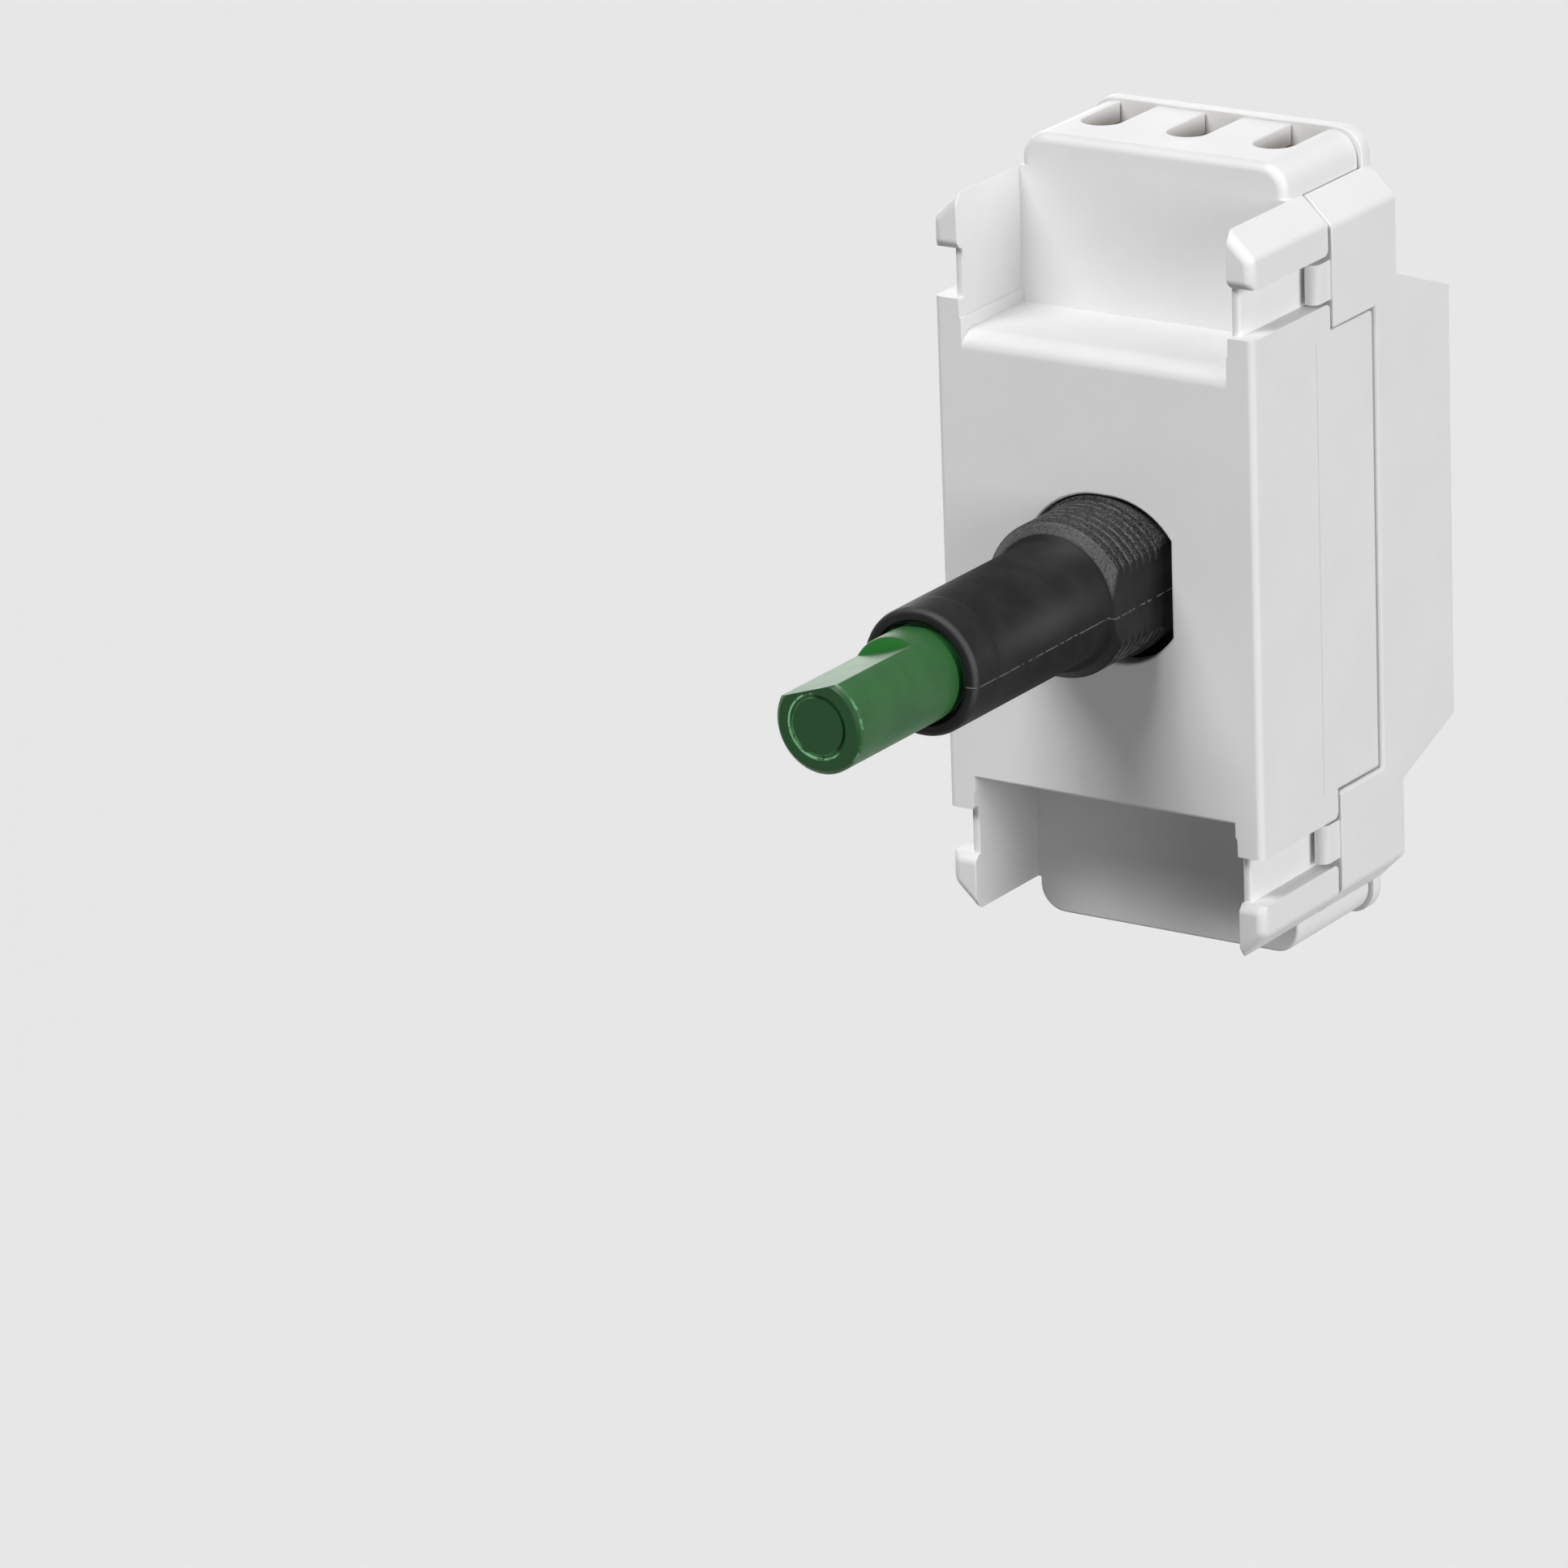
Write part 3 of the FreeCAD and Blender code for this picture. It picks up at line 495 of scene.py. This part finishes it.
def mergedCopy(node):
    bm = bmesh.new()
    bm.from_mesh(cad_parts[node].data)
    bmesh.ops.remove_doubles(bm, verts=bm.verts, dist=mergeSet["loose"])
    flatBelow = math.radians(mergeSet["flatBelow"])
    bmesh.ops.dissolve_limit(bm, angle_limit=flatBelow, verts=bm.verts, edges=bm.edges)
    return bm


def wayOf(edge):
    return (edge.verts[1].co - edge.verts[0].co).normalized()


def roomBeside(edge, face):
    # how far the face reaches from the edge
    return max((v.co - edge.verts[0].co).cross(wayOf(edge)).length for v in face.verts)


# Which edges are rounded: outer ones, but not the short facets of a fillet
roundingSet = {
    "shortest": 0.16 * mm,
    "share": 0.42,          # of the room beside an edge
    "hardAbove": 33,
    "slack": 0.02 * mm,
    "inLine": 0.7,          # cosine from which two edges are of one rim
}


def tightenFillet(bm, look):
    # draws the fillet between a front face and its end, upper or lower, in to a smaller radius
    wide, slack = look["fillet"], roundingSet["slack"]
    shrink = look["radius"] / wide
    for v in bm.verts:
        height = v.co.z * look["end"]
        side = max(abs(v.co.x) - look["cornerX"], 0)
        rise = max(height - look["cornerZ"], 0)
        reach = math.hypot(side, rise)
        inward = look["corner"] - reach
        behind = v.co.y - look["front"]
        if height < look["above"] or max(inward, behind) > wide + slack or min(inward, behind) < -slack:
            continue
        if abs(math.hypot(wide - inward, wide - behind) - wide) < slack:
            growth = (look["corner"] - inward * shrink) / reach
            if side:
                v.co.x = math.copysign(look["cornerX"] + side * growth, v.co.x)
            if rise:
                v.co.z = (look["cornerZ"] + rise * growth) * look["end"]
            v.co.y = look["front"] + behind * shrink


def weighEdges(bm, look):
    # full weight where there is room for the whole rounding, less on narrow steps and at the seam
    width, angle = look["edge"], math.radians(look["angle"])
    weight = bm.edges.layers.float.new("bevel_weight_edge")
    found = {}
    for edge in bm.edges:
        if not edge.is_manifold or edge.calc_face_angle() < angle:
            continue
        if not edge.is_convex or edge.calc_length() < roundingSet["shortest"]:
            continue
        room = min(roomBeside(edge, face) for face in edge.link_faces)
        ends = [other.calc_length() for v in edge.verts for other in v.link_edges
                if other is not edge and other.calc_face_angle(0) > angle]
        start, end = [v.co.y for v in edge.verts]
        onSeam = any(max(abs(start - y), abs(end - y)) < roundingSet["slack"] for y in look["seams"])
        full = look["seamEdge"] if onSeam else width
        found[edge] = min(full, roundingSet["share"] * min([room] + ends))
    for edge, size in found.items():
        # a rim of many short edges takes the smallest of its neighbours
        rimWearAndHighlight = [found[other] for v in edge.verts for other in v.link_edges
               if other in found and abs(wayOf(other).dot(wayOf(edge))) > roundingSet["inLine"]]
        edge[weight] = min([size] + rimWearAndHighlight) / width


def hardCornerNodes():
    # geometry nodes that keep each corner above an angle hard, also where a rounding ends
    tree = bpy.data.node_groups.new("hardCorners", "GeometryNodeTree")
    for way in ("INPUT", "OUTPUT"):
        tree.interface.new_socket("Geometry", in_out=way, socket_type="NodeSocketGeometry")
    start, end = [tree.nodes.new("NodeGroup" + way) for way in ("Input", "Output")]
    angle = tree.nodes.new("GeometryNodeInputMeshEdgeAngle")
    wide = tree.nodes.new("FunctionNodeCompare")
    wide.operation = "GREATER_THAN"
    wide.inputs[1].default_value = math.radians(roundingSet["hardAbove"])
    hard = tree.nodes.new("GeometryNodeSetShadeSmooth")
    hard.domain = "EDGE"
    hard.inputs["Shade Smooth"].default_value = False
    tree.links.new(angle.outputs["Unsigned Angle"], wide.inputs[0])
    tree.links.new(wide.outputs[0], hard.inputs["Selection"])
    tree.links.new(start.outputs[0], hard.inputs["Geometry"])
    tree.links.new(hard.outputs[0], end.inputs[0])
    return tree


hardCorners = hardCornerNodes()


def roundEdges(piece, width, segments):
    bevel = piece.modifiers.new("rounding", "BEVEL")
    bevel.limit_method = "WEIGHT"
    bevel.width = width
    bevel.segments = segments
    bevel.use_clamp_overlap = False
    piece.modifiers.new("hardCorners", "NODES").node_group = hardCorners
    normals = piece.modifiers.new("flatFaces", "WEIGHTED_NORMAL")
    normals.keep_sharp = True


def mouldedCopy(node, name, look):
    bm = mergedCopy(node)
    for edge in look.get("crispEdges", ()):
        tightenFillet(bm, edge)
    weighEdges(bm, look)
    piece = makePiece(bm, name, look["finish"])
    roundEdges(piece, look["edge"], look["segments"])
    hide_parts(node)
    return piece


# The front edges of the ledges and end blocks, crisper than in the solids, and most of all below
upperLedge = {"end": 1, "fillet": 2.0 * mm, "radius": 1.15 * mm, "front": 0.0, "above": 12.0 * mm,
              "corner": 3.0 * mm, "cornerX": 12.0 * mm, "cornerZ": 11.4 * mm}
lowerLedge = {**upperLedge, "end": -1, "radius": 0.25 * mm}
lowerBlock = {"end": -1, "fillet": 1.3 * mm, "radius": 0.2 * mm, "front": 7.3 * mm, "above": 23.05 * mm,
              "corner": 1.7 * mm, "cornerX": 7.65 * mm, "cornerZ": 23.55 * mm}
upperBlock = {**lowerBlock, "end": 1, "radius": 0.6 * mm}

# Casing halves with the soft edges of the moulding
casingPieces = {
    "frontCasing": {"node": "front_casing", "edge": 0.28 * mm, "angle": 25, "segments": 4,
                    "seams": (16.0 * mm,), "seamEdge": 0.05 * mm,
                    "finish": "casing", "slot": "casing_white",
                    "crispEdges": (upperLedge, lowerLedge, upperBlock, lowerBlock)},
    "rearCasing": {"node": "rear_casing", "edge": 0.26 * mm, "angle": 25, "segments": 4,
                   "seams": (16.12 * mm, 17.06 * mm), "seamEdge": 0.08 * mm,
                   "finish": "casing", "slot": "casing_white"},
}
for name, look in casingPieces.items():
    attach(mouldedCopy(look["node"], name, look), "root")
print("casing halves rounded")


# Shaft with softened edges along its flat; the chamfer and the ring on its end stay crisp
shaftPiece = {"edge": 0.12 * mm, "angle": 35, "segments": 2,
              "seams": (-31.4 * mm, -31.1 * mm), "seamEdge": 0.0,
              "finish": "shaft", "slot": "shaft_green"}
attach(mouldedCopy("control_shaft", "controlShaft", shaftPiece), "shaft")
print("shaft rounded")


# Bush: smooth nose, helical thread with one flat, and the flange behind the front wall
bushSet = {
    "threadRadius": 5.0 * mm,
    "threadFlat": 4.4 * mm,
    "threadFront": -5.3 * mm,
    "threadChamfer": 0.6 * mm,
    "pitch": 0.75 * mm,
    "threadDepth": 0.24 * mm,
    "grooveShare": 0.24,        # half the groove's width over the pitch
    "rowsPerTurn": 16,
    "stepsRound": 180,
    "noseRadius": 4.0 * mm,
    "bore": 3.06 * mm,
    "lip": 0.4 * mm,
    "lipBulge": 0.3,            # 0.5 for a plain chamfer, less for a rounder lip
    "mouth": 0.25 * mm,
    "seat": 0.05 * mm,
    "runOut": 0.2 * mm,
    "clear": 0.1 * mm,
    "hardAbove": 38,
}


def bushProfile(bm, noseEnd):
    # half section in the plane of X and Y, from the bore round the nose to the seat
    b = bushSet
    front, seat, chamfer = b["threadFront"], b["seat"], b["threadChamfer"]
    nose, lip = b["noseRadius"], b["lip"]
    bulge = lip * b["lipBulge"]
    points = [(b["bore"], seat), (b["bore"], noseEnd + b["mouth"]), (b["bore"] + b["mouth"], noseEnd),
              (nose - lip, noseEnd), (nose - bulge, noseEnd + bulge), (nose, noseEnd + lip), (nose, front)]
    rows = round((seat - front) / b["pitch"] * b["rowsPerTurn"])
    for row in range(rows + 1):
        y = front + (seat - front) * row / rows
        full = b["threadRadius"] - max(0.0, chamfer - (y - front))
        points.append((full, y))
    verts = [bm.verts.new((x, y, 0)) for x, y in points]
    return [bm.edges.new(pair) for pair in zip(verts, verts[1:])]


def cutThread(bm):
    # the groove winds round the axis: its depth goes with height along Y and angle together
    b = bushSet
    aboveNose = b["noseRadius"] + b["clear"]
    for v in bm.verts:
        radius = math.hypot(v.co.x, v.co.z)
        if radius < aboveNose or v.co.y > b["seat"] - b["runOut"]:
            continue
        turn = math.atan2(v.co.z, v.co.x) / math.tau
        phase = (v.co.y / b["pitch"] + turn) % 1.0
        groove = b["threadDepth"] * (1 - min(1.0, abs(phase - 0.5) / b["grooveShare"]))
        limit = b["threadRadius"] - groove
        share = min(radius, limit) / radius
        v.co.x *= share
        v.co.z *= share
    for v in bm.verts:
        if v.co.y > b["threadFront"] - 0.01 * mm and math.hypot(v.co.x, v.co.z) > aboveNose:
            v.co.x = min(v.co.x, b["threadFlat"])


def makeBush():
    b = bushSet
    bm = bmesh.new()
    edges = bushProfile(bm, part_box("threaded_bush")[0].y)
    bmesh.ops.spin(bm, geom=edges + bm.verts[:], cent=(0, 0, 0), axis=(0, 1, 0), angle=math.tau,
                   steps=b["stepsRound"], use_merge=True)
    bmesh.ops.remove_doubles(bm, verts=bm.verts, dist=mergeSet["spun"])
    cutThread(bm)
    flange = bmesh.new()
    flange.from_mesh(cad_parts["threaded_bush"].data)
    bmesh.ops.remove_doubles(flange, verts=flange.verts, dist=mergeSet["loose"])
    bmesh.ops.bisect_plane(flange, geom=flange.verts[:] + flange.edges[:] + flange.faces[:],
                           plane_co=(0, b["seat"], 0), plane_no=(0, -1, 0), clear_outer=True)
    rest = bpy.data.meshes.new("flange")
    flange.to_mesh(rest)
    flange.free()
    bm.from_mesh(rest)
    bpy.data.meshes.remove(rest)
    piece = makePiece(bm, "threadedBush", "bush")
    piece.data.set_sharp_from_angle(angle=math.radians(b["hardAbove"]))
    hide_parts("threaded_bush")
    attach(piece, "root")


makeBush()
print("bush threaded")


# Return spring, which in the real part shortens against its rear seat as the shaft is pushed; here it is
# wound at its rest length
springSet = {
    "wire": 0.45 * mm,
    "turns": 4,
    "stepsPerTurn": 28,
    "wireSides": 10,
    "rearSeat": 15.75 * mm,
    "keep": 0.573,          # share of its length at full push
}


def makeSpring():
    s = springSet
    low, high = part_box("return_spring")
    wire = s["wire"] / 2
    coil = high.x - wire
    pitch = (high.y - low.y - s["wire"]) / s["turns"]
    bm = bmesh.new()
    bmesh.ops.create_circle(bm, cap_ends=True, radius=wire, segments=s["wireSides"],
                            matrix=Matrix.Translation((coil, low.y + wire, 0)))
    bmesh.ops.spin(bm, geom=bm.faces[:], cent=(0, 0, 0), axis=(0, 1, 0), angle=math.tau * s["turns"],
                   steps=s["turns"] * s["stepsPerTurn"], dvec=(0, pitch / s["stepsPerTurn"], 0))
    piece = makePiece(bm, "returnSpring", "spring")
    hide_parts("return_spring")
    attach(piece, "root")
    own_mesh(piece)


makeSpring()
print("spring wound")


# Terminal screws with a domed edge to the slotted head and a rolled thread
screwSet = {
    "head": 1.95 * mm,
    "headHeight": 0.9 * mm,
    "shank": 1.42 * mm,
    "pitch": 0.5 * mm,
    "threadDepth": 0.16 * mm,
    "rowsPerTurn": 6,
    "steps": 40,
    "dome": 0.22 * mm,
    "slotWidth": 0.5 * mm,
    "slotDepth": 0.45 * mm,
    "point": 0.6,           # radius of the end over that of the shank
    "runOut": 0.1 * mm,
    "hardAbove": 40,
}


def makeScrew(where):
    s = screwSet
    low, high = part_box("terminal_screw_" + where)
    centre = (low + high) / 2
    under = high.y - s["headHeight"]
    head, dome = s["head"], s["dome"]
    bm = bmesh.new()
    points = [(0, low.y), (s["shank"] * s["point"], low.y)]
    rows = round((under - low.y) / s["pitch"] * s["rowsPerTurn"])
    points += [(s["shank"], low.y + (under - low.y) * row / rows) for row in range(1, rows + 1)]
    points += [(head, under), (head, high.y - dome), (head - dome / 3, high.y - dome / 3),
               (head - dome, high.y), (0, high.y)]
    verts = [bm.verts.new((x, y, 0)) for x, y in points]
    edges = [bm.edges.new(pair) for pair in zip(verts, verts[1:])]
    bmesh.ops.spin(bm, geom=verts + edges, cent=(0, 0, 0), axis=(0, 1, 0), angle=math.tau,
                   steps=s["steps"], use_merge=True)
    bmesh.ops.remove_doubles(bm, verts=bm.verts, dist=mergeSet["spun"])
    for v in bm.verts:
        radius = math.hypot(v.co.x, v.co.z)
        if s["shank"] * 0.8 < radius <= s["shank"] * 1.01 and v.co.y < under - s["runOut"]:
            phase = (v.co.y / s["pitch"] + math.atan2(v.co.z, v.co.x) / math.tau) % 1.0
            share = 1 - s["threadDepth"] / radius * (1 - abs(2 * phase - 1))
            v.co.x *= share
            v.co.z *= share
    piece = makePiece(bm, "terminalScrew" + where.capitalize(), "screw")
    cutSlot(piece, high.y)
    piece.data.transform(Matrix.Translation((centre.x, 0, centre.z)))
    piece.data.set_sharp_from_angle(angle=math.radians(s["hardAbove"]))
    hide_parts("terminal_screw_" + where)
    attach(piece, "clamp_screw_" + where)


def cutSlot(piece, rear):
    s = screwSet
    tool = bmesh.new()
    bmesh.ops.create_cube(tool, size=1)
    bmesh.ops.scale(tool, vec=(3 * s["head"], 2 * s["slotDepth"], s["slotWidth"]), verts=tool.verts)
    bmesh.ops.translate(tool, vec=(0, rear, 0), verts=tool.verts)
    mesh = bpy.data.meshes.new("slotTool")
    tool.to_mesh(mesh)
    tool.free()
    cutter = bpy.data.objects.new("slotTool", mesh)
    bpy.context.scene.collection.objects.link(cutter)
    cut = piece.modifiers.new("slot", "BOOLEAN")
    cut.operation = "DIFFERENCE"
    cut.object = cutter
    bpy.context.view_layer.update()
    solid = bpy.data.meshes.new_from_object(piece.evaluated_get(bpy.context.evaluated_depsgraph_get()))
    piece.modifiers.clear()
    blank, piece.data = piece.data, solid
    bpy.data.meshes.remove(blank)
    bpy.data.objects.remove(cutter)
    bpy.data.meshes.remove(mesh)


for where in places:
    makeScrew(where)
print("terminal screws slotted")


# Floor, light and view
stageSet = {
    "floorBelow": 0.12,
    "floorSize": 12.0,
    "floorSeen": rgb(0.88, 0.88, 0.88),
    "floorBounce": rgb(0.18, 0.18, 0.18),
    "skyLevel": 0.04,
    "skySeen": 0.80,
    "lamps": {
        "keyMiddle": {"power": 1.45, "comesFrom": (0.0, -0.55, 0.83), "softness": 20.0},
        "keyLeft": {"power": 1.18, "comesFrom": (-0.25, -0.60, 0.76), "softness": 20.0},
        "fillFront": {"power": 0.80, "comesFrom": (0.90, -0.40, 0.15), "softness": 40.0},
        "fillRight": {"power": 1.98, "comesFrom": (0.98, -0.05, 0.14), "softness": 30.0},
        "fillRear": {"power": 2.30, "comesFrom": (-0.64, 0.76, -0.10), "softness": 60.0},
        # lights the rear, but leaves no glint on the shaft's flat
        "fillBack": {"power": 1.50, "comesFrom": (-0.62, 0.78, 0.01), "softness": 5.0, "glints": False},
    },
}


def seenPlainly(wire):
    # 1 for rays from the camera, and for those that gloss or glass sends on
    camera, glossy, through = [wire.node("LightPath", output=output) for output in (0, 3, 6)]
    return camera.most(glossy).most(through)


def makeFloor():
    s = stageSet
    bm = bmesh.new()
    bmesh.ops.create_grid(bm, x_segments=1, y_segments=1, size=s["floorSize"] / 2,
                          matrix=Matrix.Translation((0, 0, -s["floorBelow"])))
    mesh = bpy.data.meshes.new("floor")
    bm.to_mesh(mesh)
    bm.free()
    floor = bpy.data.objects.new("floor", mesh)
    bpy.context.scene.collection.objects.link(floor)
    finish = Finish("floorPaint")
    finish.feed("Base Color", seenPlainly(finish.wire).mix(s["floorBounce"], s["floorSeen"]))
    finish.feed("Roughness", 0.9)
    finish.feed("Specular IOR Level", 0.0)
    mesh.materials.append(finish.material)


def makeSun(name, lamp):
    data = bpy.data.lights.new(name, "SUN")
    data.energy = lamp["power"]
    data.angle = math.radians(lamp["softness"])
    sun = bpy.data.objects.new(name, data)
    sun.visible_glossy = lamp.get("glints", True)
    sun.matrix_world = Vector(lamp["comesFrom"]).to_track_quat("Z", "Y").to_matrix().to_4x4()
    bpy.context.scene.collection.objects.link(sun)


def makeSky():
    world = bpy.data.worlds.new("studio")
    world.use_nodes = True
    sky = world.node_tree.nodes["Background"]
    sky.inputs["Color"].default_value = rgb(1, 1, 1)
    wire = Wire(world.node_tree)
    level = stageSet["skyLevel"]
    wire.join(sky.inputs["Strength"], seenPlainly(wire) * (stageSet["skySeen"] - level) + level)
    bpy.context.scene.world = world


makeFloor()
for name, lamp in stageSet["lamps"].items():
    makeSun(name, lamp)
makeSky()
bpy.context.scene.view_settings.view_transform = "Standard"
print("floor and light set")
